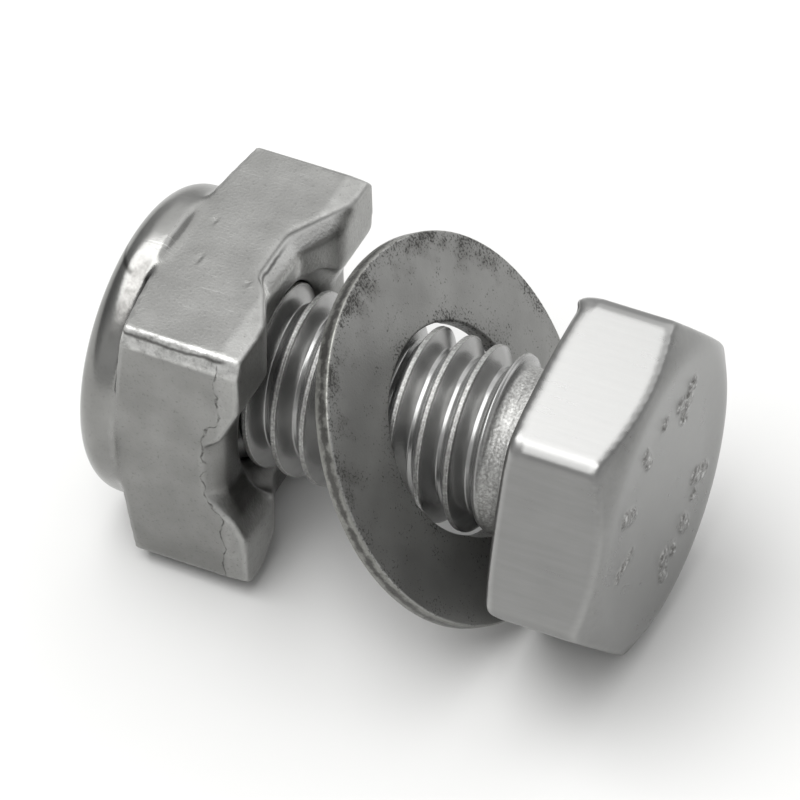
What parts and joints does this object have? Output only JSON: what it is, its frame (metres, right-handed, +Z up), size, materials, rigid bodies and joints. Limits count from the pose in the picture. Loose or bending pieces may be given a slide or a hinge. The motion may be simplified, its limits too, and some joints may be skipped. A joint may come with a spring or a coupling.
{
  "type": "line clamp",
  "caption": "Wire line clamp: hex-head bolt with a loose flat washer and a square lock nut whose clamping face has crossing wire grooves.",
  "frame": {"origin": "on the surface that the clamp lies on, under the middle of its outline", "axes": "+Z up, +X from the nut towards the bolt's head along the lying bolt, +Y level across the bolt"},
  "size_m": [0.0232, 0.0158, 0.0143],
  "materials": {
    "bolt_steel": "satin",
    "washer_steel": "satin",
    "nut_steel": "satin",
    "ring_nylon": "matte"
  },
  "bodies": {
    "bolt": {"hex_bolt": "bolt_steel"},
    "washer": {"flat_washer": "washer_steel"},
    "ring": {"locking_ring": "ring_nylon"},
    "nut": {"grooved_nut": "nut_steel"}
  },
  "joints": [
    {"name": "washer_slide", "type": "slide", "parent": "bolt", "child": "washer", "axis": [0.9993, 0, 0.0366], "range_m": [-0.001, 0.00004]},
    {"name": "nut_travel", "type": "slide", "parent": "bolt", "child": "ring", "axis": [0.9993, 0, 0.0366], "range_m": [-0.00376, 0.00126]},
    {"name": "nut_turn", "type": "hinge", "parent": "ring", "child": "nut", "pos_m": [-0.00724, 0, 0.00655], "axis": [0.9993, 0, 0.0366], "range_deg": [-1080, 360]}
  ],
  "couplings": [
    {"joint": "nut_travel", "follows": "nut_turn", "m_per_rad": 0.00019894}
  ]
}
